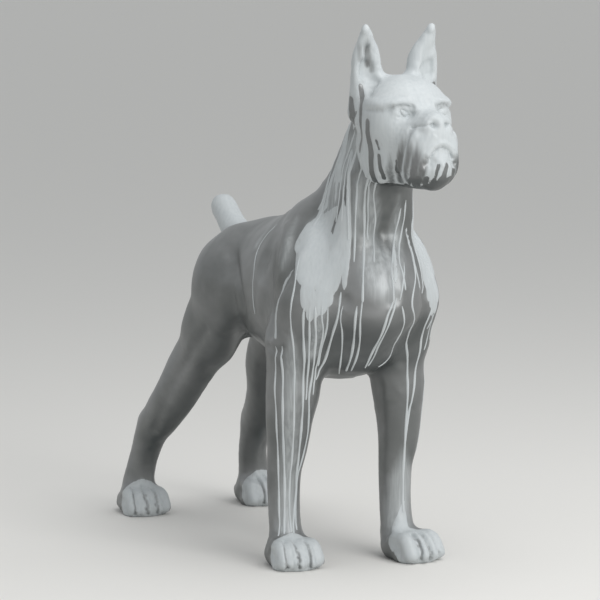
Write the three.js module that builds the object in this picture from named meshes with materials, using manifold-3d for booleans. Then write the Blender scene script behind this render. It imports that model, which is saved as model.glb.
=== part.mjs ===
// A life-size standing dog, cast in one piece: a boxer-like figure with cropped upright ears, a docked
// tail, heavy lips and a jutting chin. The dog faces -Y, +Z is up, and its left side is +X.
// The form is a field of muscles that melt into each other, negative inside. The field is turned into a
// closed surface net, thinned to a faceted skin, and cut off flat under the four paws.
import * as THREE from "three";
import { surfaceNet } from "three/addons/libs/surfaceNet.js";
import { MeshoptSimplifier } from "three/addons/libs/meshopt_simplifier.module.js";
import { mergeVertices } from "three/addons/utils/BufferGeometryUtils.js";
import Module from "manifold-3d";

// Driving dimension, in millimetres. The pose and the carving are shares of it: every number below
// that has no unit is in hundredths of the height, so that the ear tips stand at 100.
const HEIGHT = 900;
const MM = HEIGHT / 100;

// How finely the skin is sampled, and how many facets are kept of it.
const NET_STEP = 0.55;
const SKIN_TRIANGLES = 9800;

// The box that holds the whole figure, and the floor that cuts its paws off flat.
const LOW_CORNER = [-20, -37, -2.5];
const HIGH_CORNER = [20, 74, 102];
const FLOOR_SIZE = [60, 200, 10];
const FLOOR_MIDDLE = [0, 20, -5];

const SILVER_GREY = 0x6b6f70;

// Shapes: each is a function of x, y, z that is negative inside, roughly a distance in hundredths. Past
// this distance a shape only says how far off the ball around it is, which is quick.
const FAR = 9;

// A muscle: an egg with three radii, turned by degrees about X, Y and Z.
function egg([cx, cy, cz], [rx, ry, rz], turn = [0, 0, 0]) {
  const angles = new THREE.Euler(...turn.map(THREE.MathUtils.degToRad));
  const m = new THREE.Matrix4().makeRotationFromEuler(angles).transpose().elements;
  const ball = Math.max(rx, ry, rz);
  return (x, y, z) => {
    const dx = x - cx;
    const dy = y - cy;
    const dz = z - cz;
    const away = Math.sqrt(dx * dx + dy * dy + dz * dz) - ball;
    if (away > FAR) return away;
    const lx = (m[0] * dx + m[4] * dy + m[8] * dz) / rx;
    const ly = (m[1] * dx + m[5] * dy + m[9] * dz) / ry;
    const lz = (m[2] * dx + m[6] * dy + m[10] * dz) / rz;
    const near = Math.sqrt(lx * lx + ly * ly + lz * lz);
    const slope = Math.sqrt((lx / rx) ** 2 + (ly / ry) ** 2 + (lz / rz) ** 2);
    return slope < 1e-6 ? -Math.min(rx, ry, rz) : (near * (near - 1)) / slope;
  };
}

// A limb through stations [x, y, z, radius, width], where width is the breadth across X as a share of
// the depth. The stations are joined by one smooth curve.
function limb(stations, steps = 4) {
  const axis = new THREE.CatmullRomCurve3(stations.map(([x, y, z]) => new THREE.Vector3(x, y, z)));
  const girth = new THREE.CatmullRomCurve3(stations.map(([, , , r, w = 1]) => new THREE.Vector3(r, w, 0)));
  const count = (stations.length - 1) * steps;
  const rings = Array.from({ length: count + 1 }, (_, i) => {
    const p = axis.getPoint(i / count);
    const g = girth.getPoint(i / count);
    return [p.x, p.y, p.z, g.x, g.y];
  });
  const spans = rings.slice(1).map((b, i) => {
    const a = rings[i];
    const along = [b[0] - a[0], b[1] - a[1], b[2] - a[2]];
    return { a, b, along, length2: along[0] ** 2 + along[1] ** 2 + along[2] ** 2 };
  });
  const middle = axis.getPoint(0.5);
  const ball = Math.max(...rings.map(([x, y, z, r]) => middle.distanceTo(new THREE.Vector3(x, y, z)) + r));
  return (x, y, z) => {
    const away = Math.hypot(x - middle.x, y - middle.y, z - middle.z) - ball;
    if (away > FAR) return away;
    let best = Infinity;
    for (const { a, b, along, length2 } of spans) {
      const dx = x - a[0];
      const dy = y - a[1];
      const dz = z - a[2];
      let t = (dx * along[0] + dy * along[1] + dz * along[2]) / length2;
      t = t < 0 ? 0 : t > 1 ? 1 : t;
      const wide = a[4] + t * (b[4] - a[4]);
      const ex = (dx - t * along[0]) / wide;
      const ey = dy - t * along[1];
      const ez = dz - t * along[2];
      const d = Math.sqrt(ex * ex + ey * ey + ez * ez) - a[3] - t * (b[3] - a[3]);
      if (d < best) best = d;
    }
    return best;
  };
}

// Two shapes melted together, with a fillet of about the melt's size.
function meltTwo(a, b, melt) {
  const near = Math.max(melt - Math.abs(a - b), 0) / melt;
  return Math.min(a, b) - (near * near * melt) / 4;
}

function melt(size, first, ...others) {
  return (x, y, z) => {
    let d = first(x, y, z);
    for (const shape of others) d = meltTwo(d, shape(x, y, z), size);
    return d;
  };
}

// A shape with others scooped out of it, with an edge rounded to about the given size.
function scoop(size, shape, ...cutters) {
  return (x, y, z) => {
    let d = shape(x, y, z);
    for (const cutter of cutters) d = -meltTwo(-d, cutter(x, y, z), size);
    return d;
  };
}

// A shape and its mirror image across the dog's middle.
const pair = (shape) => (x, y, z) => shape(Math.abs(x), y, z);

// Trunk: a deep chest, a tucked-up belly and a sloping croup.
const trunk = melt(
  5,
  limb([
    [0, -8, 50.5, 6.5, 1],
    [0, -1, 49.6, 14, 0.85],
    [0, 8, 49.6, 16.2, 0.83],
    [0, 20, 49.4, 13.8, 0.88],
    [0, 29, 50, 11.8, 0.92],
    [0, 35, 51.6, 9, 0.98],
    [0, 39.5, 52.5, 6.4, 1.15],
  ]),
  egg([0, -8.5, 50], [6.5, 5.5, 8.5]),
  egg([0, 8, 60.8], [6.5, 7, 5.2]),
  egg([0, 41, 42.5], [7.5, 5, 5.5]),
);

// Neck: a thick arched column with a cord of muscle down each side of the throat.
const neck = melt(
  4,
  limb([
    [0, 2, 60, 10, 0.8],
    [0, -4, 68, 7.9, 0.82],
    [0, -6.8, 72.5, 7.3, 0.8],
    [0, -8.9, 76, 7.1, 0.78],
    [0, -12, 81, 6.2, 0.85],
  ]),
  pair(limb([[5, -7, 56, 3.2], [4.2, -8.2, 64, 2.8], [3.4, -9.8, 72, 2.2]])),
);

// Head: a broad flat forehead over a deep square muzzle, with the lower jaw jutting past the upper lip.
const skull = melt(
  2.5,
  egg([0, -16.5, 84], [6.9, 8.2, 6.2]),
  egg([0, -19.8, 84.7], [7.4, 5.4, 5.1]),
  pair(egg([4.1, -17.4, 77.6], [2.8, 6, 6.2])),
  pair(egg([4.4, -20.4, 81.8], [2.9, 4.5, 3.6])),
);
const brows = pair(
  limb([[6.2, -16.5, 85, 0.5], [7, -21.3, 85.4, 0.6], [4.6, -24.3, 85.7, 0.6], [1.8, -24.8, 85.8, 0.6]]),
);
const muzzle = melt(
  1.6,
  egg([0, -26.2, 79.3], [4.8, 6, 4.4]),
  pair(egg([2.3, -27.3, 76], [2.5, 4.7, 4.6])),
  limb([[0, -22, 84, 2.2, 1.15], [0, -29, 82.4, 1.9, 1.2]]),
  egg([0, -30.3, 82.2], [2.1, 1.3, 1.5]),
);
const jaw = melt(
  1.2,
  limb([[0, -15, 75, 4.2, 1.2], [0, -23, 74, 3.2, 1.1], [0, -28.6, 73.6, 2.7, 1.1]]),
  egg([0, -29.6, 74.6], [2.8, 3.4, 3.2]),
);
const eyes = pair(egg([4, -24, 84], [1.35, 1.15, 0.9]));
const sockets = pair(egg([4.3, -25.9, 84.1], [2.1, 1.3, 0.8]));
const nostrils = pair(egg([1.2, -31.5, 82.3], [0.45, 0.8, 0.4]));
const lipLine = pair(limb([[0, -32.9, 78.2, 0.8], [1.5, -32.6, 77.5, 0.8], [2.8, -31.9, 75.6, 0.5]]));
const face = melt(
  0.5,
  scoop(1, melt(1.4, melt(2.8, skull, muzzle), brows), sockets, nostrils),
  eyes,
  jaw,
);

// Ears: tall leaves with a scooped front.
const ears = pair(
  scoop(
    0.8,
    limb([
      [5.2, -14.2, 84, 2.4, 1.3],
      [5.5, -15.2, 90, 2, 1.45],
      [5.7, -15.3, 93.2, 1.8, 1.45],
      [6.1, -15.9, 96, 1.2, 1.4],
      [6.7, -17, 99.5, 0.5, 1.2],
    ]),
    limb([[5.9, -17.5, 87, 1.1, 1.3], [6, -17.4, 91, 1.5, 1.1], [6.4, -17.3, 95.2, 0.7, 1]]),
  ),
);

// Paw: pads and four toes, with its middle at x, y. The turn swings the toes towards the dog's left.
function paw(x, y, turn = 0) {
  const swing = THREE.MathUtils.degToRad(turn);
  const at = (across, back) => [
    x + across * Math.cos(swing) - back * Math.sin(swing),
    y + across * Math.sin(swing) + back * Math.cos(swing),
  ];
  const toes = [-1.5, -0.5, 0.5, 1.5].map((place) => {
    const across = place * 2.1;
    const reach = 4.7 - 0.8 * (Math.abs(place) - 0.5);
    return limb([
      [...at(across * 0.8, 1), 3.9, 1.4],
      [...at(across * 0.95, -reach * 0.6), 3.7, 1.4],
      [...at(across, -reach), 1.6, 1.35],
    ]);
  });
  const heel = egg([...at(0, 1.3), 2.2], [4.1, 5, 3.3], [0, 0, turn]);
  const sole = limb([[...at(-2, -1.8), 0.9, 2.4], [...at(0, -2.2), 0.9, 2.8], [...at(2, -1.8), 0.9, 2.4]]);
  return melt(0.3, melt(1.5, heel, sole), ...toes);
}

// Foreleg: side is -1 for the dog's right and 1 for its left; the carpus is the wrist.
function foreleg(side, [carpusX, carpusY], [pawX, pawY], turn) {
  const elbowY = 2.4;
  const bend = carpusY - elbowY;
  const leg = melt(
    2,
    limb([
      [side * 10.1, 2.6, 41, 5.7, 0.92],
      [side * 10.9, elbowY, 33, 5.2, 0.94],
      [side * 11.2, elbowY + 0.3 * bend, 28, 4.5, 0.96],
      [side * 11.1, elbowY + 0.75 * bend, 22, 3.8, 0.96],
      [side * carpusX, carpusY, 17, 3.1, 1],
      [side * carpusX, carpusY, 10, 2.9, 1],
      [side * carpusX, carpusY - 0.8, 5, 3.05, 1],
    ]),
    egg([side * 10.3, 7, 36], [2.6, 2.8, 3.6]),
  );
  return melt(1.6, leg, paw(side * pawX, pawY, side * turn));
}

// Shoulder blade, upper arm and point of the shoulder.
const shoulders = pair(
  melt(
    3,
    limb([[6.4, 4, 61.5, 4.8, 0.9], [9.4, 0, 56, 6.2, 0.86], [10.1, -2.3, 49, 6, 0.88]]),
    limb([[10.2, -2.3, 49, 5.6, 0.88], [10.8, 0.5, 42, 5.7, 0.88]]),
  ),
);

// Hind leg: thigh, second thigh, hock, rear pastern and paw. The step sets the paw forward.
function hindLeg(side, step) {
  const thigh = melt(
    3,
    limb([
      [side * 6.2, 33.5, 53.6, 6.2, 0.85],
      [side * 8.6, 34.2, 49, 8, 0.7],
      [side * 8.3, 37.6, 44, 7.4, 0.68],
      [side * 7.9, 42, 39, 6.2, 0.72],
    ]),
    egg([side * 7.2, 38.6, 49], [4.2, 4.6, 7.5]),
  );
  const lower = limb([
    [side * 7.9, 42, 39, 6, 0.76],
    [side * 7.8, 46, 35.2, 5.6, 0.76],
    [side * 8.6, 50, 30.6, 5.2, 0.8],
    [side * 10.2, 53.4, 25, 4.6, 0.84],
    [side * 11.2, 58 - 0.4 * step, 20, 4, 0.88],
    [side * 11.6, 61 - 0.6 * step, 17, 3.5, 0.9],
    [side * 12.1, 64.2 - 0.9 * step, 11, 2.8, 1],
    [side * 12.8, 65.2 - step, 6, 3.1, 1],
  ]);
  const pointOfHock = egg([side * 11.4, 62 - 0.6 * step, 18.4], [1.9, 2.2, 2.8]);
  return melt(1.6, melt(4, thigh, lower), pointOfHock, paw(side * 13, 63.6 - step));
}

const tail = limb([[0, 44, 55.5, 3.2], [0, 48.5, 58.8, 2.5], [0, 52.3, 62, 2.3]]);

const body = melt(4, trunk, neck, shoulders);
const legs = [
  foreleg(-1, [11.4, 5], [11.7, 1.6], 0),
  foreleg(1, [10.5, 2.2], [11.1, -2.4], 12),
  hindLeg(-1, 0),
  hindLeg(1, 0.8),
];
const dog = melt(1.2, melt(3, body, ...legs), tail, melt(1.5, melt(2.2, scoop(0.8, face, lipLine), ears), neck));

// Samples the field on a regular net of points. A block of points that is far from the skin takes the
// value at its middle, which has the right sign.
function sampleNet(field, low, high, step) {
  const size = high.map((h, i) => Math.ceil((h - low[i]) / step) + 1);
  const values = new Float32Array(size[0] * size[1] * size[2]);
  const BLOCK = 6;
  const reach = BLOCK * step * 1.6;
  const at = (i, j, k) => i + size[0] * (j + size[1] * k);
  for (let k0 = 0; k0 < size[2]; k0 += BLOCK)
    for (let j0 = 0; j0 < size[1]; j0 += BLOCK)
      for (let i0 = 0; i0 < size[0]; i0 += BLOCK) {
        const middle = [i0, j0, k0].map((n, axis) => low[axis] + (n + BLOCK / 2) * step);
        const far = field(...middle);
        for (let k = k0; k < Math.min(k0 + BLOCK, size[2]); k++)
          for (let j = j0; j < Math.min(j0 + BLOCK, size[1]); j++)
            for (let i = i0; i < Math.min(i0 + BLOCK, size[0]); i++)
              values[at(i, j, k)] =
                Math.abs(far) > reach ? far : field(low[0] + i * step, low[1] + j * step, low[2] + k * step);
      }
  return { size, values, at };
}

// Moves a point onto the skin, down the field's slope, by no more than half a step of the net at a time.
function settle(point, field, step) {
  const e = 0.02;
  for (let round = 0; round < 3; round++) {
    const [x, y, z] = point;
    const d = field(x, y, z);
    const slope = [field(x + e, y, z) - d, field(x, y + e, z) - d, field(x, y, z + e) - d].map((v) => v / e);
    const steep2 = Math.max(slope[0] ** 2 + slope[1] ** 2 + slope[2] ** 2, 0.2);
    const move = slope.map((s) => (-d * s) / steep2);
    const share = Math.min(1, step / 2 / Math.hypot(...move, 1e-9));
    point.forEach((v, i) => (point[i] = v + share * move[i]));
  }
}

// The face and the paws are small and finely carved, so they keep more facets: the thinning is shown them
// swollen about these middles, by this gain.
const CARVED = [
  { middle: [0, -25, 80], radius: 13, gain: 1.4 },
  ...[[-11.7, 1.6], [11.1, -2.4], [-13, 63.6], [13, 62.8]].map(([x, y]) => ({
    middle: [x, y - 3, 3],
    radius: 6,
    gain: 0.8,
  })),
];

function swollen(vertices) {
  const shown = vertices.slice();
  for (let i = 0; i < shown.length; i += 3)
    for (const { middle, radius, gain } of CARVED) {
      const away = middle.map((m, axis) => vertices[i + axis] - m);
      const swell = gain * Math.exp(-(Math.hypot(...away) ** 2) / radius ** 2);
      away.forEach((d, axis) => (shown[i + axis] += d * swell));
    }
  return shown;
}

// The field's skin as a closed geometry of about the given number of triangles.
async function skinOf(field, low, high, step, triangles) {
  const net = sampleNet(field, low, high, step);
  const { positions, cells } = surfaceNet(net.size, (i, j, k) => net.values[net.at(i, j, k)]);
  const vertices = new Float32Array(positions.flatMap((p) => p.map((v, axis) => low[axis] + v * step)));
  await MeshoptSimplifier.ready;
  const faces = new Uint32Array(cells.flat());
  const [kept] = MeshoptSimplifier.simplify(faces, swollen(vertices), 3, triangles * 3, 1, ["RegularizeLight"]);
  for (const vertex of new Set(kept)) settle(vertices.subarray(3 * vertex, 3 * vertex + 3), field, step);
  const geometry = new THREE.BufferGeometry();
  geometry.setAttribute("position", new THREE.BufferAttribute(vertices, 3));
  geometry.setIndex(new THREE.BufferAttribute(kept, 1));
  return mergeVertices(geometry.toNonIndexed());
}

const skin = await skinOf(dog, LOW_CORNER, HIGH_CORNER, NET_STEP, SKIN_TRIANGLES);
skin.scale(MM, MM, MM);

// The four paws are cut off flat at floor level.
const wasm = await Module();
wasm.setup();

function solidOf(geometry) {
  const vertProperties = geometry.attributes.position.array;
  const triVerts = new Uint32Array(geometry.index.array);
  return new wasm.Manifold(new wasm.Mesh({ numProp: 3, vertProperties, triVerts }));
}

function geometryOf(solid) {
  const { numProp, vertProperties, triVerts } = solid.getMesh();
  const geometry = new THREE.BufferGeometry();
  geometry.setAttribute("position", new THREE.BufferAttribute(vertProperties, numProp));
  geometry.setIndex(new THREE.BufferAttribute(triVerts, 1));
  return geometry;
}

const inMillimetres = (values) => values.map((value) => value * MM);
const floorBlock = new THREE.BoxGeometry(...inMillimetres(FLOOR_SIZE)).translate(...inMillimetres(FLOOR_MIDDLE));
floorBlock.deleteAttribute("normal");
floorBlock.deleteAttribute("uv");
const cast = geometryOf(solidOf(skin).subtract(solidOf(mergeVertices(floorBlock))));

// The origin is at floor level, under the middle of the figure's box.
cast.computeBoundingBox();
const middle = cast.boundingBox.getCenter(new THREE.Vector3());
cast.translate(-middle.x, -middle.y, -cast.boundingBox.min.z);
cast.computeVertexNormals();

const lacquer = new THREE.MeshStandardMaterial({ color: SILVER_GREY, roughness: 0.38, metalness: 0.3 });
const figure = new THREE.Mesh(cast, lacquer);
figure.name = "dog_figure";

const sculpture = new THREE.Group();
sculpture.add(figure);
export default sculpture;
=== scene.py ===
# A life-size standing dog, cast in resin and lacquered silver-grey, with thick pale grey paint poured over
# its head and shoulders and left to run down in threads. Carving, paint and patterns are in millimetres.
import math
import random

import bmesh
import bpy
import numpy as np
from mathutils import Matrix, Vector
from mathutils.bvhtree import BVHTree


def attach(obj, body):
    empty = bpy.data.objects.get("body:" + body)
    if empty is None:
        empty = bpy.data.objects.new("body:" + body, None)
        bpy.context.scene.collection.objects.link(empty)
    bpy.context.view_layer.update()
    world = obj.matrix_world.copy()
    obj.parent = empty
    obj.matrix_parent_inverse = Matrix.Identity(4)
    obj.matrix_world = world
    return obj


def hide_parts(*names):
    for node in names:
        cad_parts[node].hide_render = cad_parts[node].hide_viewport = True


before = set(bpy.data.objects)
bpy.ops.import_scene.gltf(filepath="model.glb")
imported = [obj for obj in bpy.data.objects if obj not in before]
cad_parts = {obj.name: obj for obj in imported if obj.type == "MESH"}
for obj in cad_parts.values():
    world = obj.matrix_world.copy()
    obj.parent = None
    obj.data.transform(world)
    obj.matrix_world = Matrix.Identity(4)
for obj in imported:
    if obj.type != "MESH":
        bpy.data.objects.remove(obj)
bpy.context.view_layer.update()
scene = bpy.context.scene

# The camera: a long lens about five metres ahead of the dog's right shoulder, looking a little down on it.
# What shows from there is carved and painted through points of its 600 x 600 picture.
CAMERA_PLACE = Vector((-2475.5, -4636.0, 1033.0))
CAMERA_TURN = math.radians(28.02)
CAMERA_DIP = math.radians(6.64)
SENSOR = 36
LENS = 187.5
PICTURE = 600
FOCAL = LENS / SENSOR * PICTURE
METRE = 1000

scene.view_settings.view_transform = "Standard"

camera = bpy.data.objects.new("camera", bpy.data.cameras.new("camera"))
camera.data.sensor_width = SENSOR
camera.data.lens = LENS
camera.location = CAMERA_PLACE / METRE
camera.rotation_euler = (math.pi / 2 - CAMERA_DIP, 0, -CAMERA_TURN)
scene.collection.objects.link(camera)
scene.camera = camera
camera_axes = camera.rotation_euler.to_matrix()


def sight(across, down):
    """The direction from the camera through a point of the picture."""
    return (camera_axes @ Vector((across - PICTURE / 2, PICTURE / 2 - down, -FOCAL))).normalized()


# The casting: the whole dog, a hollow shell of resin and glass fibre laid up in a mould, its seams sanded
# away and its soles flat. It keeps the frame's form, on a mesh that is fine enough to carve and paint.
FACE_MIDDLE = Vector((0, -420, 720))
FACE_REACH = 64
FACE_GRAIN = 2.0
HEAD_FLOOR = 630
PAW_TOP = 62
HEAD_AND_PAW_GRAIN = 4.4
CHEST_FLOOR = 240
CHEST_GRAIN = 6.5
FORELEG_GRAIN = 8.0
HIND_GRAIN = 10.0
GRAIN_ROUNDS = 4
SAME_PLACE = 0.01
SOLE = 0.05
MOULD_SMOOTHING = 20


def grain(place):
    """The longest edge that the mesh may have at a place: shorter where the carving and paint are finer."""
    if (place - FACE_MIDDLE).length < FACE_REACH:
        return FACE_GRAIN
    if place.z > HEAD_FLOOR or place.z < PAW_TOP:
        return HEAD_AND_PAW_GRAIN
    if place.y < 0:
        return CHEST_GRAIN if place.z > CHEST_FLOOR else FORELEG_GRAIN
    return HIND_GRAIN


shell = bmesh.new()
shell.from_mesh(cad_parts["dog_figure"].data)
bmesh.ops.scale(shell, vec=(METRE, METRE, METRE), verts=shell.verts)
bmesh.ops.remove_doubles(shell, verts=shell.verts, dist=SAME_PLACE)
for _ in range(GRAIN_ROUNDS):
    long_edges = [e for e in shell.edges if e.calc_length() > grain((e.verts[0].co + e.verts[1].co) / 2)]
    bmesh.ops.subdivide_edges(shell, edges=long_edges, cuts=1, smooth=1, use_grid_fill=True)
    bmesh.ops.triangulate(shell, faces=[f for f in shell.faces if len(f.verts) > 3])
shell.verts.index_update()
skin = np.array([v.co for v in shell.verts])
corners = np.array([[v.index for v in f.verts] for f in shell.faces])
edges = np.array([[v.index for v in e.verts] for e in shell.edges])
grounded = skin[:, 2] < SOLE


def relax(points, rounds, drawn=0.5, pushed=-0.52):
    """Smooths the skin without shrinking it: each round draws points to their neighbours' mean and back."""
    count = np.bincount(edges.ravel(), minlength=len(points))[:, None]
    for _ in range(rounds):
        for share in (drawn, pushed):
            total = np.zeros_like(points)
            np.add.at(total, edges[:, 0], points[edges[:, 1]])
            np.add.at(total, edges[:, 1], points[edges[:, 0]])
            points = points + share * (total / count - points)
            points[grounded, 2] = 0
    return points


def outward(points):
    """The skin's outward direction at each of its points."""
    a, b, c = (points[corners[:, i]] for i in range(3))
    facing = np.cross(b - a, c - a)
    total = np.zeros_like(points)
    for i in range(3):
        np.add.at(total, corners[:, i], facing)
    return total / np.linalg.norm(total, axis=1, keepdims=True)


def curve_through(points, step=3):
    """A smooth curve through given points, sampled about every step millimetres."""
    points = np.array(points, float)
    ends = np.vstack([2 * points[0] - points[1], points, 2 * points[-1] - points[-2]])
    made = []
    for a, b, c, d in zip(ends, ends[1:], ends[2:], ends[3:]):
        for t in np.linspace(0, 1, max(2, int(np.linalg.norm(c - b) / step)), endpoint=False):
            bend = (2 * a - 5 * b + 4 * c - d) * t**2 + (3 * b - a - 3 * c + d) * t**3
            made.append(0.5 * (2 * b + (c - a) * t + bend))
    return np.array(made + [points[-1]])


def along(path, reach):
    """The skin points within reach of a path: which they are, how far off, and how far along from 0 to 1."""
    inside = ((skin > path.min(0) - reach) & (skin < path.max(0) + reach)).all(1)
    near = np.flatnonzero(inside)
    off = np.full(len(near), float(reach))
    share = np.zeros(len(near))
    for i, (a, b) in enumerate(zip(path, path[1:])):
        span = b - a
        rel = skin[near] - a
        t = np.clip(rel @ span / (span @ span + 1e-9), 0, 1)
        d = np.linalg.norm(rel - t[:, None] * span, axis=1)
        closer = d < off
        off[closer] = d[closer]
        share[closer] = (i + t[closer]) / (len(path) - 1)
    return near, off, share


def feel():
    """A tree for finding places on the skin as it is now."""
    return BVHTree.FromPolygons(skin.tolist(), corners.tolist())


def on_skin(points):
    """The points moved to the nearest places on the skin."""
    return np.array([tree.find_nearest(Vector(p))[0] for p in points])


def seen(picture_points, step=3):
    """A curve on the skin through points of the picture; points just off the figure's edge are left out."""
    places = [tree.ray_cast(CAMERA_PLACE, sight(*point))[0] for point in picture_points]
    return on_skin(curve_through([place for place in places if place is not None], step))


def mirrored(path):
    """The same path on the dog's other side."""
    return on_skin(path * (-1, 1, 1))


def stroke(path, reach, depth):
    """Carves a soft valley along a path, or raises a ridge where the depth is negative."""
    near, off, _ = along(path, reach)
    skin[near] -= facing[near] * (depth * (1 - (off / reach) ** 2) ** 2)[:, None]


def both(path, reach, depth):
    """The same stroke on both sides of the dog."""
    stroke(path, reach, depth)
    stroke(mirrored(path), reach, depth)


skin = relax(skin, MOULD_SMOOTHING)

# The ears, cast with the head and cropped: each is drawn in to a thin point about a spine that leans out
# and back as it rises, and is hollow in front, the left one less than the right.
EAR_FOOT = 862
EAR_TOP = 900
EAR_OUT = 56
EAR_SPLAY = 5
EAR_AHEAD = -320
EAR_RAKE = 4
TIP_PINCH = 0.35
TIP_DROP = 6
EAR_HOLLOW = [(-51, -330, 775), (-53, -328, 795), (-55, -326, 815), (-56, -324, 830)]
for side in (-1, 1):
    ear = np.flatnonzero((skin[:, 2] > EAR_FOOT) & (skin[:, 0] * side > 0))
    up = (skin[ear, 2] - EAR_FOOT) / (EAR_TOP - EAR_FOOT)
    spine = np.column_stack([side * (EAR_OUT + EAR_SPLAY * up), EAR_AHEAD + EAR_RAKE * up])
    skin[ear, :2] = spine + (skin[ear, :2] - spine) * (1 - TIP_PINCH * up[:, None] ** 4)
    skin[ear, 2] -= TIP_DROP * up
tree = feel()
facing = outward(skin)
right_hollow = on_skin(curve_through(EAR_HOLLOW))
stroke(right_hollow, reach=11, depth=5)
stroke(mirrored(right_hollow), reach=9, depth=2.5)
facing = outward(skin)

# The body, modelled broad and shallow in the mould: furrows round the shoulder blade, the ribs and the
# tuck before the thigh, the breastbone and the folds under it, the arm, the elbow, and the hock's cords.
BLADE_EDGE = [(299, 218), (294, 240), (290, 262), (282, 284), (274, 305), (270, 332)]
BLADE_FURROW = [(312, 212), (305, 230), (300, 248)]
BLADE_SWELL = [(286, 226), (284, 248), (281, 264)]
RIB_HOLLOW = [(266, 258), (262, 270)]
RIB_SWELL = [(262, 288), (259, 306)]
FLANK_TUCK = [(231, 252), (236, 270), (240, 292), (243, 315), (243, 333)]
THIGH_EDGE = [(226, 285), (226, 310), (222, 328)]
BREASTBONE = [(0, -235, 560), (0, -262, 500), (0, -270, 450)]
CHEST_TUCK = [(-45, -255, 372), (0, -262, 366), (45, -255, 372)]
BREAST_FOLD = [(338, 297), (352, 306), (366, 309), (381, 306), (396, 297)]
ARM_FOLD = [(345, 300), (334, 320), (326, 345), (320, 368)]
ELBOW = [(268, 346), (277, 352), (283, 349)]
THIGH_CORD = [(206, 330), (180, 372), (163, 405), (155, 430)]
HOCK_CORD = [(150, 452), (146, 480)]
both(seen(BLADE_EDGE), reach=20, depth=6)
both(seen(BLADE_FURROW), reach=12, depth=2.5)
both(seen(BLADE_SWELL), reach=14, depth=-3)
both(seen(RIB_HOLLOW), reach=24, depth=4)
both(seen(RIB_SWELL), reach=22, depth=-3)
both(seen(FLANK_TUCK), reach=20, depth=6)
both(seen(THIGH_EDGE), reach=22, depth=-3)
stroke(on_skin(curve_through(BREASTBONE)), reach=14, depth=3)
stroke(on_skin(curve_through(CHEST_TUCK)), reach=75, depth=16)
stroke(seen(BREAST_FOLD), reach=16, depth=1.5)
both(seen(ARM_FOLD), reach=16, depth=4)
both(seen(ELBOW), reach=10, depth=4)
both(seen(THIGH_CORD), reach=14, depth=3.5)
both(seen(HOCK_CORD), reach=10, depth=2)
facing = outward(skin)
tree = feel()

# The face, cast with the rest and crisper: a long brow line over a ledge, almond eyes with thin lids,
# nostrils with a crease running back, heavy upper lips with a fold behind them, and a mouth line arched
# over the chin.
TEMPLE_LINE = [(366, 109.6), (374, 110), (382, 110.4), (390, 109.6)]
BROW_HOLLOW = [(388, 109), (394, 107.2), (401, 106), (407, 106.2), (412, 107.4)]
FOREHEAD_FURROW = [(0, -345, 792), (0, -378, 773), (0, -400, 757)]
EYEBALL = [(395.8, 113.6), (400.5, 113.6), (405, 113.9)]
UPPER_LID = [(391.5, 113), (396, 109.2), (401.5, 107.8), (406.5, 109.6), (410, 113.6)]
LOWER_LID = [(392.5, 116.4), (397, 119), (401.5, 120), (406, 118.6), (410, 115.6)]
RIM_OVER_EYE = [(393, 114), (396.5, 111.2), (401.3, 110.2), (405.8, 111.6), (408.6, 114.4)]
RIM_UNDER_EYE = [(405, 116.9), (401, 117.6), (396.6, 116.4), (393, 114)]
NOSTRIL = [(431.4, 124), (433, 123.8)]
NOSE_CREASE = [(431, 124.6), (426, 125.8), (418, 126.6), (411, 127.4)]
LIP_FOLD = [(412.5, 128), (408.5, 136), (404, 146), (401.5, 157), (400.5, 170)]
LIP_SWELL = [(x + 6, y) for x, y in LIP_FOLD[1:]]
LIP_LINE = [(429.3, 159), (434, 151.8), (441.5, 147.4)]
LIP_ROLL = [(x - 1, y - 4) for x, y in LIP_LINE]
CHIN = [(437, 156), (444, 155)]
both(seen(TEMPLE_LINE, step=2), reach=7.5, depth=3.4)
both(seen(BROW_HOLLOW, step=2), reach=7.5, depth=3.4)
stroke(on_skin(curve_through(FOREHEAD_FURROW)), reach=18, depth=3)
tree = feel()
facing = outward(skin)
both(seen(EYEBALL, step=1), reach=8, depth=-2.2)
both(seen(UPPER_LID, step=1), reach=4, depth=-1.3)
both(seen(LOWER_LID, step=1), reach=3.6, depth=-0.5)
both(seen(RIM_OVER_EYE + RIM_UNDER_EYE, step=1), reach=2.8, depth=0.6)
both(seen(NOSTRIL, step=1), reach=2.6, depth=2)
both(seen(NOSE_CREASE, step=1), reach=3.5, depth=1.8)
both(seen(LIP_FOLD, step=2), reach=10, depth=3)
both(seen(LIP_SWELL, step=2), reach=11, depth=-2)
both(seen(LIP_LINE, step=1), reach=3, depth=2.4)
both(seen(LIP_ROLL, step=1), reach=6, depth=-1.8)
stroke(seen(CHIN, step=2), reach=14, depth=-3)
skin = relax(skin, rounds=2)
tree = feel()
facing = outward(skin)

# The paws, each with four toes, parted by grooves that run over the top and down the front to the floor.
# A paw is its middle and the turn of its toes outwards; a groove is shares of its offset and of the paw's
# reach, and heights.
PAWS = [(-105.3, -151.6, -14), (99.9, -187.6, 12), (-117, 406.4, -14), (117, 399.2, 6)]
TOE_PITCH = 18.9
TOE_REACH = 52
OUTER_GROOVE_DRAWN_BACK = 0.25
TOE_GROOVE = [(0.9, 0.42, 54), (1, 0.8, 40), (1, 1, 22), (1, 1, 4)]


def on_paw(paw, across, ahead, up):
    """A place on a paw, from its middle: across to the dog's left, ahead towards the toes, and up."""
    x, y, turn = paw
    swing = math.radians(turn)
    return (
        x + across * math.cos(swing) + ahead * math.sin(swing),
        y + across * math.sin(swing) - ahead * math.cos(swing),
        up,
    )


def toe_path(paw, across):
    """A path over the top of a paw and down its front."""
    reach = TOE_REACH - abs(across) * OUTER_GROOVE_DRAWN_BACK
    line = [on_paw(paw, across * aside, reach * ahead, up) for aside, ahead, up in TOE_GROOVE]
    return on_skin(curve_through(line))


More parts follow.
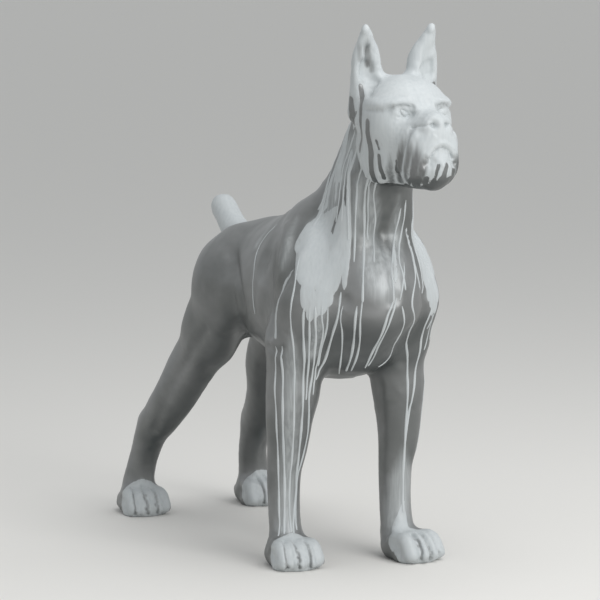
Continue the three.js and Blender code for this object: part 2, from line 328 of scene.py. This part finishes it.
toe_grooves = [toe_path(paw, across) for paw in PAWS for across in (-TOE_PITCH, 0, TOE_PITCH)]
for groove in toe_grooves:
    stroke(groove, reach=6.5, depth=4.5)
skin[grounded, 2] = 0
tree = feel()
facing = outward(skin)

# The poured paint: thick pale grey emulsion, tipped over the head, shoulders, tail and feet, which ran down
# the lacquer until it set. How far a point of the skin lies inside it, in millimetres, is kept on the mesh,
# for the thick paint and for the thin veils of it, with how far it is worn, and where it is thinned along the
# brow as painted shade.
NONE = -40.0
DEEPEST = 40
SOFT_JOIN = 5
BARE_JOIN = 2
EDGE_REACH = 30
SWELL_WAY = 60
LEAST_SLOPE = 0.25
LONGEST_RUN = 250
poured = np.full(len(skin), NONE)
veil = np.full(len(skin), NONE)
worn_and_brow_shade = np.zeros(len(skin))
threads = []


def join(a, b, soft=SOFT_JOIN):
    """The larger of two covers, with rounded corners where they meet."""
    close = np.maximum(soft - np.abs(a - b), 0) / soft
    return np.maximum(a, b) + close * close * soft / 4


def length_of(path):
    """How long a path is."""
    return np.linalg.norm(np.diff(path, axis=0), axis=1).sum()


def row_of(point):
    """How far down the picture a point shows."""
    rel = camera_axes.transposed() @ (Vector(point) - CAMERA_PLACE)
    return PICTURE / 2 + FOCAL * rel.y / rel.z


def run_down(start, stops, step=4):
    """The way paint takes down the skin from a start, until it stops or drips off."""
    place = tree.find_nearest(Vector(start))[0]
    heading = Vector((0, 0, -1))
    way = [place]
    while not stops(place) and len(way) < LONGEST_RUN:
        normal = tree.find_nearest(place)[1]
        downhill = Vector((0, 0, -1)) + normal * normal.z
        if downhill.length < LEAST_SLOPE:
            break
        heading = (heading + downhill.normalized()).normalized()
        place = tree.find_nearest(place + heading * step)[0]
        way.append(place)
    return np.array(way)


def cover(field, path, width, swell=1.0, taper=12.0):
    """Spreads paint along a path: at first a share of its full width, then all of it, tapered to its tip."""
    length = length_of(path)
    near, off, share = along(path, width / 2 + EDGE_REACH)
    gone = share * length
    half = width / 2 * np.minimum(1, swell + gone / SWELL_WAY)
    half -= width / 2 * np.clip(1 - (length - gone) / taper, 0, 1) ** 2
    field[near] = join(field[near], half - off)


def lay_bare(path, width):
    """Leaves a streak of lacquer bare in the paint."""
    near, off, _ = along(path, width / 2 + EDGE_REACH)
    poured[near] = -join(-poured[near], width / 2 - off, BARE_JOIN)


def wear(path, reach, amount, first=0.2, gain=2):
    """Thins the paint softly along a path, little at first and then more, so that the lacquer shows."""
    near, off, share = along(path, reach)
    so_far = np.clip(first + gain * share, 0, 1)
    worn_and_brow_shade[near] = np.maximum(worn_and_brow_shade[near], amount * (1 - (off / reach) ** 2) * so_far)


def pool(field, middle, radii):
    """A pool of paint, as an egg with three radii."""
    off = np.linalg.norm((skin - middle) / radii, axis=1)
    field[:] = join(field, (1 - off) * min(radii))


# The head is painted down to a tide line along the jaw, which rises to the chin, and back to a slanting
# line behind the ears. A smaller pool covers the docked tail.
JAW_TIDE = 644
CHIN_RISE = 18
RISE_FROM = -370
RISE_WAY = 60
NAPE_TIDE = -274
NAPE_LEVEL = 693
NAPE_SLANT = 0.45
NAPE_SQUARE = 0.9
TAIL_POOL = (0, 300, 545)
TAIL_POOL_SIZE = (45, 75, 62)
jaw_line = JAW_TIDE + CHIN_RISE * np.clip((RISE_FROM - skin[:, 1]) / RISE_WAY, 0, 1)
nape_line = NAPE_TIDE + NAPE_SLANT * (skin[:, 2] - NAPE_LEVEL)
above_jaw = skin[:, 2] - jaw_line
ahead_of_nape = NAPE_SQUARE * (nape_line - skin[:, 1])
poured = join(poured, np.clip(np.minimum(above_jaw, ahead_of_nape), NONE, DEEPEST))
pool(poured, TAIL_POOL, TAIL_POOL_SIZE)

# Wide runs, which make the pools on the shoulders: width, and way through the picture. Each starts narrow.
# Those that start on the dog's right, short of the column of its shoulder, are on its left side too.
RIGHT_SHOULDER = 345
START_WIDTH = 3
START_SHARE = 0.4
SHORTEST_TAPER = 12
WIDE_RUNS = [
    (60, [(338, 206), (322, 228), (313, 250), (312, 270), (313, 290)]),
    (34, [(344, 200), (340, 238), (331, 275), (324, 296)]),
    (12, [(308, 262), (304, 290), (304, 310)]),
    (13, [(314, 270), (311, 300), (310, 322)]),
    (12, [(321, 274), (318, 300), (316, 318)]),
    (12, [(328, 276), (324, 300), (322, 316)]),
    (11, [(334, 272), (331, 290), (329, 308)]),
    (9, [(325, 206), (310, 226), (299, 240), (296, 252)]),
    (8, [(352, 150), (348.5, 180), (348.5, 233), (347, 262), (344, 290)]),
    (7, [(344, 150), (338, 176), (335, 204)]),
    (8, [(338, 160), (331, 184), (325, 212)]),
    (6, [(331, 172), (325, 194), (318, 216)]),
    (24, [(412, 224), (418, 240), (424, 258), (428, 276)]),
    (14, [(420, 250), (428, 272), (432.5, 292), (431, 316)]),
    (6, [(406, 228), (411, 250), (416, 270), (420, 290)]),
    (8, [(293, 270), (284, 287), (278, 303), (275.5, 321), (276, 341)]),
    (7, [(394, 243), (395, 262), (396, 284)]),
    (30, [(404, 500), (401, 525), (399, 552)]),
]
for width, way in WIDE_RUNS:
    run = seen(way)
    form = {"swell": min(START_SHARE, START_WIDTH / width), "taper": max(SHORTEST_TAPER, width / 2)}
    cover(poured, run, width, **form)
    if way[0][0] < RIGHT_SHOULDER:
        cover(poured, mirrored(run), width, **form)

# Veils, where the paint ran off and left only a film: width and way, and one broad one on the breast, which
# is partly a film of paint and partly a painted highlight on the breast's bulge.
VEILS = [
    (26, [(372, 180), (373, 215), (376, 262)]),
    (24, [(399, 196), (396, 240), (398, 285)]),
    (60, [(352, 120), (340, 170), (326, 216)]),
    (26, [(362, 150), (358, 200), (354, 240)]),
    (46, [(336, 196), (322, 222), (306, 250)]),
    (30, [(291, 330), (291, 400), (289, 470), (287, 530)]),
    (40, [(414, 232), (424, 258), (429, 280), (430, 304)]),
    (14, [(297, 218), (290, 235), (286, 255), (280, 272)]),
    (26, [(276, 220), (264, 234), (254, 250)]),
    (52, [(404, 446), (402, 490), (399, 540)]),
    (44, [(284, 500), (284, 520), (283, 535)]),
    (26, [(325, 290), (318, 330), (312, 360)]),
]
BREAST_VEIL_AND_HIGHLIGHT = [(383, 270), (384, 270)]
BREAST_VEIL_AND_HIGHLIGHT_SIZE = (38, 45, 56)
for width, way in VEILS:
    cover(veil, seen(way), width, swell=0.0)
pool(veil, seen(BREAST_VEIL_AND_HIGHLIGHT)[0], BREAST_VEIL_AND_HIGHLIGHT_SIZE)

# Threads that show in front: width, way, and for four of them the row of the picture that they run on to.
THREADS = [
    (4, [(350, 128), (342, 154), (331, 180), (324, 204), (313, 226)], None),
    (3.9, [(345, 140), (336, 166), (328, 188), (318, 210)], None),
    (4, [(355, 130), (350, 148), (343, 168), (339, 200), (336, 222)], None),
    (3.9, [(351, 150), (346, 172), (343, 200), (342, 222)], None),
    (5.4, [(360, 136), (356, 152), (351, 168), (348, 182), (348.5, 240)], None),
    (3.9, [(364, 152), (359, 176), (356, 206), (355, 236), (354, 262)], None),
    (3.2, [(369, 178), (368, 210), (368, 240)], None),
    (4.8, [(365, 172), (364.5, 222), (364, 247), (363, 280)], 300),
    (3.2, [(376, 182), (375.5, 222), (374, 262)], None),
    (3.9, [(401, 208), (397, 226), (393, 248), (391, 272)], 300),
    (3.9, [(406, 200), (402, 230), (399, 262)], 290),
    (4.8, [(282, 346), (281.5, 362), (282.6, 400), (283.3, 444), (284.5, 480), (284, 534)], None),
    (3.9, [(275.5, 346), (275, 380), (276, 410), (277.5, 444), (278.5, 480), (278, 536)], None),
    (
        3.9,
        [(300, 256), (297, 270), (294, 290), (291, 307), (291.5, 332), (294.3, 362), (293, 444), (291, 532)],
        None,
    ),
    (4.8, [(304, 308), (303.5, 340), (304.4, 362), (303, 400), (300, 444), (296, 490), (294, 534)], None),
    (4.8, [(315.5, 306), (315.5, 345), (312.5, 376), (309, 398), (305.8, 444), (301, 480), (297, 530)], None),
    (3.9, [(310, 306), (309.5, 340), (308, 372), (306, 400)], None),
    (3.9, [(322, 306), (321, 345), (315.5, 373), (313, 395)], None),
    (3.9, [(328, 306), (324, 340), (318, 366)], None),
    (4.8, [(341, 292), (338, 316), (333.5, 331), (325, 360), (316, 380)], None),
    (3.2, [(343, 306), (342, 348), (339, 374)], None),
    (4.8, [(357, 306), (354.6, 331), (351.8, 354), (346, 371)], None),
    (3.9, [(362.3, 300), (360, 338), (357.4, 355), (351, 371)], None),
    (4.8, [(394, 300), (387, 317), (378.5, 341), (365, 368)], None),
    (3.9, [(396.7, 298), (389.7, 321.7), (381, 341), (374, 357), (368, 366)], None),
    (3.9, [(402, 306), (398, 338), (389.7, 356.8), (378, 367)], None),
    (
        4.8,
        [(432, 306), (426, 323), (420.5, 348), (415, 376), (412, 400), (408.5, 414), (405, 444), (403, 480)],
        None,
    ),
    (4.8, [(410.7, 246), (415, 270), (412, 306), (408.6, 334), (407.3, 362), (407.5, 400), (405, 440)], 510),
    (3.2, [(404, 262), (403, 284), (400, 300)], None),
    (3.2, [(433, 312), (428, 335), (424, 350)], None),
    (3.2, [(277, 224.5), (265, 237), (257, 252), (254, 272), (253, 296), (255, 314)], None),
]
for width, way, down_to in THREADS:
    path = seen(way, step=4)
    if down_to:
        path = np.vstack([path, run_down(path[-1], lambda place: row_of(place) > down_to)[1:]])
    threads.append((path, width))

# Streaks that the paint ran round, on the cheek, the neck, under the lips and in the ear: width and way.
# All but those in the middle are on both sides of the dog.
BARE_STREAKS = [
    (13, [(350, 84), (351, 100), (352, 120), (349, 140)]),
    (8, [(360.5, 86), (361.5, 104), (361.5, 130), (360, 150)]),
    (3, [(356.5, 112), (356.5, 136), (354, 156)]),
    (14, [(367.5, 123), (368.5, 138), (371, 156), (376, 182)]),
    (5, [(376.5, 141), (379, 149)]),
    (8, [(379, 156), (384, 178)]),
    (5, [(396.5, 161), (397, 172)]),
    (9, [(438, 167), (437, 175), (436, 184)]),
    (8, [(447, 165), (444, 174), (441, 184)]),
    (12, [(453, 172), (451, 179), (449, 188)]),
    (4, [(411, 170), (410.5, 177), (410, 184)]),
]
BARE_MIDDLE = 25
for width, way in BARE_STREAKS:
    streak = seen(way, step=2)
    lay_bare(streak, width)
    if abs(streak[:, 0]).min() > BARE_MIDDLE:
        lay_bare(mirrored(streak), width)

# Places where it ran thin, in the right ear, on the heavy lips and along the jaw, and painted shade under the
# brow and along the temple line, where the paint is thinned so that the darker lacquer shows: reach, amount
# and way.
# The ear's are in the picture's top rows, and all the others are on both sides of the dog.
WORN_STREAKS_AND_BROW_SHADE = [
    (7, 0.4, [(360.5, 40), (360, 50), (360, 60)]),
    (9, 0.55, [(366.5, 36), (366.5, 50), (368, 64)]),
    (8, 0.4, [(371, 56), (372, 70)]),
    (5, 0.3, [(412.8, 128), (410.5, 134)]),
    (11, 0.68, [(405, 136), (402, 150), (400.5, 180)]),
    (9, 0.62, [(411, 134), (409, 152), (407, 180)]),
    (12, 0.75, [(417, 144), (416, 160), (414, 182)]),
    (11, 0.7, [(426, 152), (423, 166), (420, 180)]),
    (9, 0.5, [(390, 150), (390, 168), (392, 182)]),
    # Painted shade: these two thin the paint under the brow ledge and along the temple line so that they look
    # shaded.
    (8, 0.3, [(386, 108.5), (392, 107), (399, 106), (406, 106.5)]),
    (8, 0.2, [(364, 109.6), (376, 110.2), (390, 109.6)]),
]
EAR_ROWS = 100
for reach, amount, way in WORN_STREAKS_AND_BROW_SHADE:
    streak = seen(way, step=2)
    wear(streak, reach, amount)
    if way[0][1] > EAR_ROWS:
        wear(mirrored(streak), reach, amount)
for groove in toe_grooves:
    wear(on_skin(groove), reach=4.5, amount=0.5)

# Drips that hang from the lips and the jaw, on both sides of the dog but for those in the middle: width
# and way.
JAW_DRIPS = [
    (4, [(409, 166), (408.5, 176), (408, 185)]),
    (3, [(414, 172), (413.5, 178), (413, 187)]),
    (3.5, [(436, 162), (433, 172), (428, 185)]),
    (4, [(446, 158), (441, 170), (436, 182)]),
    (3, [(424, 172), (422.5, 179), (421, 187)]),
    (3, [(450, 164), (446, 178)]),
]
DRIP_MIDDLE = 20
for width, way in JAW_DRIPS:
    drip = seen(way, step=2)
    cover(poured, drip, width)
    if abs(drip[:, 0]).min() > DRIP_MIDDLE:
        cover(poured, mirrored(drip), width)

# The hidden side, by chance but after the same pour. Runs go down the nape, and threads from the left of
# the neck and from the left shoulder's pool. For those: where the first starts, how far back and down the
# next one is, how many there are, the heights between which they end, and their widths.
SEED = 11
NAPE_RUNS = range(-36, 40, 9)
NAPE_BACK = -240
NAPE_TOP = 790
NAPE_SHIFT = 3
NAPE_ENDS = (560, 700)
NAPE_WIDTHS = (4, 9)
LEFT_SHIFT = 4
LEFT_THREADS = [
    ((75, -255, 700), (14, 16), 8, (380, 560), (2.5, 4)),
    ((150, -200, 500), (13, 0), 10, (60, 400), (2.5, 3.5)),
]
chance = random.Random(SEED)
for across in NAPE_RUNS:
    start = (across + chance.uniform(-NAPE_SHIFT, NAPE_SHIFT), NAPE_BACK, NAPE_TOP)
    lowest = chance.uniform(*NAPE_ENDS)
    cover(poured, run_down(start, lambda place: place.z < lowest), chance.uniform(*NAPE_WIDTHS))
for (x, y, z), (back, down), count, ends, widths in LEFT_THREADS:
    for run in range(count):
        start = (x, y + back * run + chance.uniform(-LEFT_SHIFT, LEFT_SHIFT), z - down * run)
        lowest = chance.uniform(*ends)
        path = run_down(start, lambda place: place.z < lowest)
        threads.append((path, chance.uniform(*widths)))

# On the feet the paint gathered on the toes, and left the grooves between them bare.
TOE_POOL_SIZE = (50, 42, 42)
for paw in PAWS:
    pool(poured, on_paw(paw, across=0, ahead=32, up=25), TOE_POOL_SIZE)

# Under the paint, the lacquer is painted darker as shade: most on the surfaces that face down, a little on
# upright ones, and in three places, each with its middle, its radii and how dark it is: painted shade on the
# right of the neck and under the jaw, and a painted dark reflection over the loin and hips.
WALL_SHADE = 0.25
UNDERSIDE_SHADE = 1.1
PAINTED_SHADE_PLACES = [
    ((-60, -215, 650), (60, 80, 95), 0.5),
    ((0, 180, 440), (190, 150, 110), 0.4),
    ((0, -425, 650), (70, 60, 24), 1.0),
]
SHADE_FADE = 2.2
SHADE_STRENGTH = 0.75
painted_shade = np.clip(WALL_SHADE - UNDERSIDE_SHADE * facing[:, 2], 0, 1)
for middle, radii, amount in PAINTED_SHADE_PLACES:
    off = np.linalg.norm((skin - middle) / radii, axis=1)
    painted_shade = np.maximum(painted_shade, amount * np.clip(SHADE_FADE * (1 - off), 0, 1))
painted_shade *= SHADE_STRENGTH

# A veil covers little more than half, and towards its edges the thick paint ran thinner.
MOST_VEIL = 0.58
VEIL_SPREAD = 6
VEIL_FADE = 20
MOST_THINNED = 0.16
THINNED_WITHIN = 16
THINNING_WAY = 12
veil = MOST_VEIL * np.clip((veil + VEIL_SPREAD) / VEIL_FADE, 0, 1)
worn_and_brow_shade = np.maximum(worn_and_brow_shade, MOST_THINNED * np.clip((THINNED_WITHIN - poured) / THINNING_WAY, 0, 1))

# Thick paint stands proud of the lacquer, with a rounded edge.
PAINT_THICKNESS = 0.9
ROUNDED_EDGE = 3
skin += facing * (PAINT_THICKNESS * np.clip(poured / ROUNDED_EDGE, 0, 1) ** 0.5)[:, None]
skin[:, 2] = np.maximum(skin[:, 2], 0)

casting_mesh = bpy.data.meshes.new("dog_casting")
shell.to_mesh(casting_mesh)
casting_mesh.vertices.foreach_set("co", (skin / METRE).ravel())
casting_mesh.shade_smooth()
# The mesh keeps the paint, its veils, its wear with the brow's painted shade, and the painted shade on the
# lacquer.
for name, values in (("poured", poured), ("veil", veil), ("worn_and_brow_shade", worn_and_brow_shade), ("painted_shade", painted_shade)):
    casting_mesh.attributes.new(name, "FLOAT", "POINT").data.foreach_set("value", values)
casting_mesh.update()
casting = bpy.data.objects.new("dog_casting", casting_mesh)
scene.collection.objects.link(casting)


def add_node(tree, kind, inputs, **settings):
    """Adds a node with its settings; an input is a value, or another node's output."""
    made = tree.nodes.new(kind)
    for name, value in settings.items():
        setattr(made, name, value)
    for socket, source in inputs.items():
        if isinstance(source, bpy.types.NodeSocket):
            tree.links.new(source, made.inputs[socket])
        else:
            made.inputs[socket].default_value = source
    return made


def linear(code):
    """An sRGB hex colour as linear RGBA."""
    parts = [int(code[i : i + 2], 16) / 255 for i in (1, 3, 5)]
    return (*[p / 12.92 if p < 0.04045 else ((p + 0.055) / 1.055) ** 2.4 for p in parts], 1)


# Silver-grey lacquer, sprayed over the sanded resin in coats of uneven thickness: satin and cloudy, with
# shade painted darker on it. Its metal flake is too fine to show and only gives it a soft gleam. The
# emulsion poured over it is paler and duller, solid where thick, streaky where thin, with a ragged edge.
LACQUER = [linear(code) for code in ("#7a7c7b", "#949595")]
PAINTED_SHADE_COLOUR = linear("#3f4445")
PALE_PAINT = [linear(code) for code in ("#b3b9bb", "#c9cdce")]
LACQUER_ROUGHNESS = 0.38
LACQUER_METALLIC = 0.5
PAINT_ROUGHNESS = 0.5
CLOUD_SIZE = 110
SWELL_SIZE = 60
SWELL_HEIGHT = 1
STREAK_WIDTH = 5
STREAK_LENGTH = 100
RAGGED_SIZE = 7
RAGGED_REACH = 5
RAGGED_SOFT = 0.6
EDGE_HEIGHT = 0.8

# A Mix node's sockets for colours come after those for numbers, and go by their places.
SHARE, FIRST, SECOND, MIXED = 0, 6, 7, 2


def lacquer_under_paint():
    """Lacquer under poured paint: the mesh says how thick, thin or worn it is at each place, and where shade
    is painted.
    """
    made = bpy.data.materials.new("lacquer_under_poured_paint")
    made.use_nodes = True
    nodes = made.node_tree
    shader = nodes.nodes["Principled BSDF"]
    place = add_node(nodes, "ShaderNodeTexCoord", {}).outputs["Object"]
    downward = {"Vector": place, "Scale": (1, 1, STREAK_WIDTH / STREAK_LENGTH)}
    drawn = add_node(nodes, "ShaderNodeMapping", downward).outputs["Vector"]
    sizes = {"Vector": drawn, "Scale": METRE / RAGGED_SIZE, "Detail": 3}
    ragged = add_node(nodes, "ShaderNodeTexNoise", sizes).outputs[0]
    sizes = {"Vector": drawn, "Scale": METRE / STREAK_WIDTH, "Detail": 2}
    streaks = add_node(nodes, "ShaderNodeTexNoise", sizes).outputs[0]
    sizes = {"Vector": place, "Scale": METRE / CLOUD_SIZE, "Detail": 4}
    clouds = add_node(nodes, "ShaderNodeTexNoise", sizes).outputs[0]
    sizes = {"Vector": place, "Scale": METRE / SWELL_SIZE, "Detail": 1}
    swells = add_node(nodes, "ShaderNodeTexNoise", sizes).outputs[0]
    thick, thin, gone, dark = (
        add_node(nodes, "ShaderNodeAttribute", {}, attribute_name=name).outputs["Fac"]
        for name in ("poured", "veil", "worn_and_brow_shade", "painted_shade")
    )

    # Where the paint covers: inside its ragged edge, less where it is worn or thinned as painted shade in
    # streaks, or as a broken film.
    sums = {0: ragged, 1: RAGGED_REACH, 2: thick}
    edge = add_node(nodes, "ShaderNodeMath", sums, operation="MULTIPLY_ADD").outputs[0]
    middle = RAGGED_REACH / 2
    limits = {"Value": edge, "From Min": middle - RAGGED_SOFT, "From Max": middle + RAGGED_SOFT}
    solid = add_node(nodes, "ShaderNodeMapRange", limits, interpolation_type="SMOOTHSTEP").outputs[0]
    sums = {0: streaks, 1: 0.5, 2: gone}
    rubbed = add_node(nodes, "ShaderNodeMath", sums, operation="MULTIPLY_ADD").outputs[0]
    limits = {"Value": rubbed, "From Min": 0.3, "From Max": 0.95, "To Min": 1, "To Max": 0}
    kept = add_node(nodes, "ShaderNodeMapRange", limits, interpolation_type="SMOOTHSTEP").outputs[0]
    opaque = add_node(nodes, "ShaderNodeMath", {0: solid, 1: kept}, operation="MULTIPLY").outputs[0]
    limits = {"Value": streaks, "From Min": 0.35, "From Max": 0.65, "To Min": 0.65, "To Max": 1}
    broken = add_node(nodes, "ShaderNodeMapRange", limits, interpolation_type="SMOOTHSTEP").outputs[0]
    film = add_node(nodes, "ShaderNodeMath", {0: thin, 1: broken}, operation="MULTIPLY").outputs[0]
    painted = add_node(nodes, "ShaderNodeMath", {0: opaque, 1: film}, operation="MAXIMUM").outputs[0]

    # Cloudy lacquer, darkened by painted shade, and streaky paint over it.
    limits = {"Value": clouds, "From Min": 0.35, "From Max": 0.65}
    cloudy = add_node(nodes, "ShaderNodeMapRange", limits, interpolation_type="SMOOTHSTEP").outputs[0]
    colours = {SHARE: cloudy, FIRST: LACQUER[0], SECOND: LACQUER[1]}
    lacquer = add_node(nodes, "ShaderNodeMix", colours, data_type="RGBA").outputs[MIXED]
    colours = {SHARE: dark, FIRST: lacquer, SECOND: PAINTED_SHADE_COLOUR}
    shaded_lacquer = add_node(nodes, "ShaderNodeMix", colours, data_type="RGBA").outputs[MIXED]
    colours = {SHARE: streaks, FIRST: PALE_PAINT[0], SECOND: PALE_PAINT[1]}
    pale = add_node(nodes, "ShaderNodeMix", colours, data_type="RGBA").outputs[MIXED]
    colours = {SHARE: painted, FIRST: shaded_lacquer, SECOND: pale}
    shown = add_node(nodes, "ShaderNodeMix", colours, data_type="RGBA").outputs[MIXED]
    nodes.links.new(shown, shader.inputs["Base Color"])
    limits = {"Value": painted, "To Min": LACQUER_ROUGHNESS, "To Max": PAINT_ROUGHNESS}
    nodes.links.new(add_node(nodes, "ShaderNodeMapRange", limits).outputs[0], shader.inputs["Roughness"])
    limits = {"Value": painted, "To Min": LACQUER_METALLIC, "To Max": 0}
    nodes.links.new(add_node(nodes, "ShaderNodeMapRange", limits).outputs[0], shader.inputs["Metallic"])

    # The resin is not quite even under the lacquer, and the paint's edge catches the light.
    slow = {"Height": swells, "Strength": 0.4, "Distance": SWELL_HEIGHT / METRE}
    uneven = add_node(nodes, "ShaderNodeBump", slow).outputs[0]
    raised = {"Height": painted, "Strength": 0.6, "Distance": EDGE_HEIGHT / METRE, "Normal": uneven}
    nodes.links.new(add_node(nodes, "ShaderNodeBump", raised).outputs[0], shader.inputs["Normal"])
    return made


casting.data.materials.append(lacquer_under_paint())
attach(casting, "root")
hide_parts("dog_figure")

# The threads: the same paint where it ran in narrow beads, which stuck to the lacquer and set. Each stands
# a millimetre or two proud, swells and narrows along its way, and ends in a rounded tip.
BEAD_SUNK = 0.45
BEAD_SMOOTHING = 6
SHORTEST_PATH = 4
START_WAY = 15
THIN_START = 0.3
TIP_WAY = 6
THIN_TIP = 0.35
WAVE_DEPTH = 0.2
WAVE_WAY = 11
tree = feel()
bead_curve = bpy.data.curves.new("paint_threads", "CURVE")
bead_curve.dimensions = "3D"
bead_curve.bevel_depth = 1 / METRE
bead_curve.bevel_resolution = 2
bead_curve.use_fill_caps = True
for path, width in threads:
    for _ in range(BEAD_SMOOTHING):
        path[1:-1] = (path[:-2] + 2 * path[1:-1] + path[2:]) / 4
    phase = chance.uniform(0, 6)
    if len(path) < SHORTEST_PATH:
        continue
    length = length_of(path)
    spline = bead_curve.splines.new("POLY")
    spline.points.add(len(path) - 1)
    for i, (point, place) in enumerate(zip(spline.points, path)):
        place, normal, _, _ = tree.find_nearest(Vector(place))
        gone = i / (len(path) - 1) * length
        slim = min(1, gone / START_WAY + THIN_START)
        tip = min(1, (length - gone) / TIP_WAY + THIN_TIP) ** 0.5
        wave = 1 + WAVE_DEPTH * math.sin(gone / WAVE_WAY + phase)
        radius = width / 2 * slim * tip * wave
        point.co = (*((place - normal * radius * BEAD_SUNK) / METRE), 1)
        point.radius = radius
beads = bpy.data.objects.new("paint_threads", bead_curve)
scene.collection.objects.link(beads)

# The emulsion where it stands as a bead is dull and pale, with long faint streaks down its run.
BEAD_STREAK = 17
BEAD_STREAK_DRAWN = 0.12
BEAD_ROUGHNESS = 0.45


def poured_paint():
    """Pale grey emulsion, poured and set in a bead: dull, and a little streaky along its run."""
    made = bpy.data.materials.new("poured_paint")
    made.use_nodes = True
    nodes = made.node_tree
    shader = nodes.nodes["Principled BSDF"]
    place = add_node(nodes, "ShaderNodeTexCoord", {}).outputs["Object"]
    downward = {"Vector": place, "Scale": (1, 1, BEAD_STREAK_DRAWN)}
    drawn = add_node(nodes, "ShaderNodeMapping", downward).outputs["Vector"]
    sizes = {"Vector": drawn, "Scale": METRE / BEAD_STREAK, "Detail": 4}
    streaks = add_node(nodes, "ShaderNodeTexNoise", sizes).outputs[0]
    colours = {SHARE: streaks, FIRST: PALE_PAINT[0], SECOND: PALE_PAINT[1]}
    pale = add_node(nodes, "ShaderNodeMix", colours, data_type="RGBA").outputs[MIXED]
    nodes.links.new(pale, shader.inputs["Base Color"])
    shader.inputs["Roughness"].default_value = BEAD_ROUGHNESS
    return made


bead_curve.materials.append(poured_paint())
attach(beads, "root")

# The studio: a pale matt floor, a pale sky, and two soft boxes, one above and one ahead.
FLOOR_SIZE = 200
LIT_MIDDLE = Vector((0, 0, 0.5))
floor_mesh = bpy.data.meshes.new("studio_floor")
floor_shape = bmesh.new()
bmesh.ops.create_grid(floor_shape, x_segments=1, y_segments=1, size=FLOOR_SIZE)
floor_shape.to_mesh(floor_mesh)
floor = bpy.data.objects.new("studio_floor", floor_mesh)
scene.collection.objects.link(floor)
floor_paint = bpy.data.materials.new("studio_floor")
floor_paint.use_nodes = True
floor_shader = floor_paint.node_tree.nodes["Principled BSDF"]
floor_shader.inputs["Base Color"].default_value = linear("#e6e4e0")
floor_shader.inputs["Roughness"].default_value = 0.9
floor.data.materials.append(floor_paint)

sky = bpy.data.worlds.new("studio_sky")
sky.use_nodes = True
sky_light = sky.node_tree.nodes["Background"]
sky_light.inputs["Color"].default_value = linear("#e9ecee")
sky_light.inputs["Strength"].default_value = 0.66
scene.world = sky


def soft_box(name, place, watts, side):
    """A large square light that looks at the middle of the dog."""
    light = bpy.data.lights.new(name, "AREA")
    light.energy = watts
    light.size = side
    lamp = bpy.data.objects.new(name, light)
    lamp.location = place
    lamp.rotation_euler = (LIT_MIDDLE - Vector(place)).to_track_quat("-Z", "Y").to_euler()
    scene.collection.objects.link(lamp)


soft_box("overhead", place=(0.4, -1.2, 3.3), watts=46, side=2.5)
soft_box("front", place=(0.6, -3.6, 1.7), watts=54, side=2.0)
